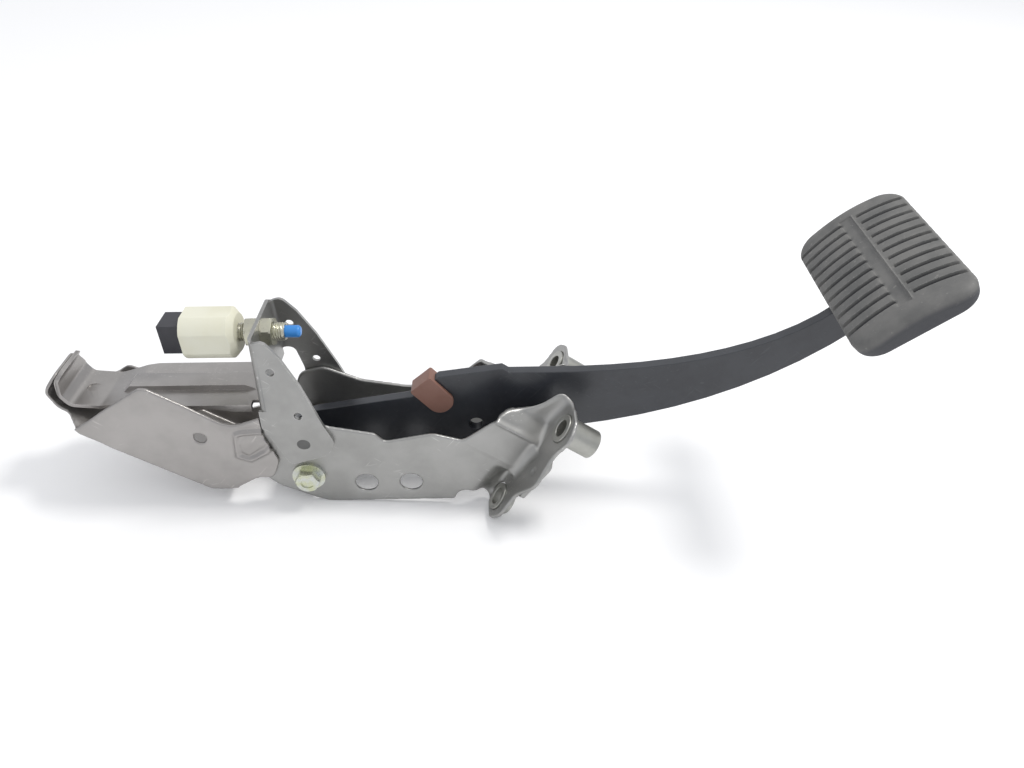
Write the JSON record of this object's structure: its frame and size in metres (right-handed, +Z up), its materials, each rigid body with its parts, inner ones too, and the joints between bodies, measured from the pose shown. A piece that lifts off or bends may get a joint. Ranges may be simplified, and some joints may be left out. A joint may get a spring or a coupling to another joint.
{
  "type": "brake pedal assembly",
  "caption": "Hanging brake pedal: flat bar arm with grooved rubber pad, pivoting in a pressed steel bracket that carries a stop lamp switch.",
  "frame": {"origin": "on the table that the bracket lies on, under the middle of the whole length and width", "axes": "+X from the upper hook to the pedal pad, +Y along the pivot axis away from the bolt head, +Z up from the table as the assembly lies. In the car the assembly is turned about Y so that the booster face is upright and the pad hangs down."},
  "size_m": [0.4564, 0.1076, 0.1685],
  "materials": {
    "plated_sheet": "zinc plated pressed steel, satin, lightly scuffed",
    "hook_sheet": "bare pressed steel with a warm grey tinge, satin",
    "collar_steel": "zinc plated turned steel, satin",
    "switch_plastic": "cream moulded plastic, slightly yellowed",
    "connector_plastic": "black moulded plastic",
    "terminal_brass": "tinned brass blades",
    "thread_steel": "yellow zinc plated steel",
    "plunger_plastic": "blue moulded plastic",
    "bolt_steel": "yellow zinc plated steel",
    "sleeve_steel": "drawn steel tube, greased",
    "bush_plastic": "natural moulded bearing plastic",
    "arm_paint": "black satin paint on steel",
    "clip_plastic": "brown moulded plastic",
    "plate_paint": "black painted steel",
    "pad_rubber": "dark grey moulded rubber, dusty"
  },
  "bodies": {
    "bracket": {"side_plate_near": "plated_sheet", "side_plate_far": "plated_sheet", "base_plate": "plated_sheet", "collar_near_upper": "collar_steel", "collar_near_lower": "collar_steel", "collar_far_upper": "collar_steel", "collar_far_lower": "collar_steel", "outer_channel": "hook_sheet", "hook_channel": "hook_sheet", "switch_bracket": "plated_sheet", "switch_body": "switch_plastic", "switch_connector": "connector_plastic", "switch_terminals": "terminal_brass", "switch_barrel": "thread_steel", "switch_nut_rear": "thread_steel", "switch_nut_front": "thread_steel", "pivot_bolt": "bolt_steel", "pivot_nut": "bolt_steel", "pivot_sleeve": "sleeve_steel"},
    "pedal": {"boss_tube": "arm_paint", "bush_near": "bush_plastic", "bush_far": "bush_plastic", "pedal_arm": "arm_paint", "stop_clip": "clip_plastic", "pad_plate": "plate_paint", "pad_rubber": "pad_rubber"},
    "plunger": {"plunger": "plunger_plastic"}
  },
  "joints": [
    {"name": "pedal_pivot", "type": "hinge", "parent": "bracket", "child": "pedal", "pos_m": [-0.09241, 0, 0.01998], "axis": [0, -1, 0], "range_deg": [0, 48.5]},
    {"name": "plunger_slide", "type": "slide", "parent": "bracket", "child": "plunger", "axis": [-0.9985, 0, -0.0546], "range_m": [0, 0.005], "stiffness_N_per_m": 600}
  ]
}
